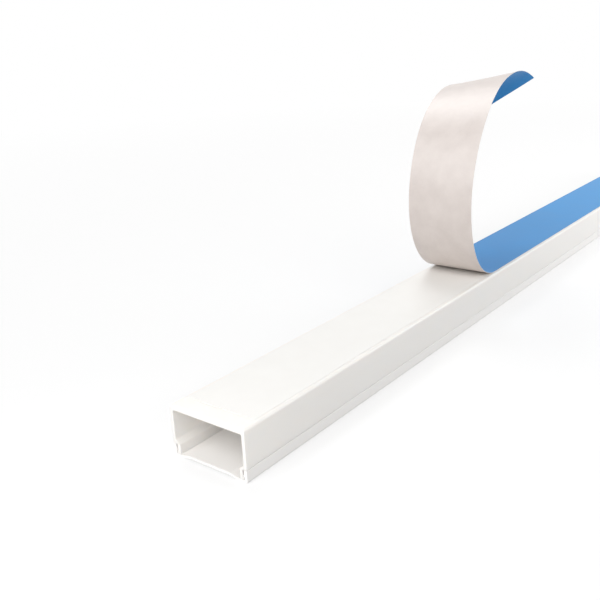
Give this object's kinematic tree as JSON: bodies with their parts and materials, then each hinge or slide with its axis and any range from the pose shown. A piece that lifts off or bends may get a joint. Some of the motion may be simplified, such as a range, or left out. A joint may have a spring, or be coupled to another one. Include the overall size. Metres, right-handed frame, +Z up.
{
  "type": "cord cover raceway",
  "caption": "Self-adhesive plastic cord raceway lying on its clip-on lid, with the blue release liner of the adhesive back peeled from one end and curled up.",
  "frame": {"origin": "centre of the lid's outer face at mid-length, which is set in by 0.58 mm between its two feet", "axes": "+X along the raceway away from the peeled end, +Z up from the lid to the adhesive back"},
  "size_m": [0.4, 0.0319, 0.0795],
  "materials": {
    "channel_pvc": "satin extruded white PVC",
    "lid_pvc": "satin extruded white PVC",
    "tape_adhesive": "white tacky double-sided tape",
    "liner_paper": "blue film outside, pale release coating inside"
  },
  "bodies": {
    "base": {"base_channel": "channel_pvc", "adhesive_tape": "tape_adhesive", "release_liner": "liner_paper"},
    "cover": {"lid": "lid_pvc"}
  },
  "joints": [
    {"name": "lid_slide", "type": "slide", "parent": "base", "child": "cover", "axis": [1, 0, 0], "range_m": [-0.4, 0.4]}
  ]
}
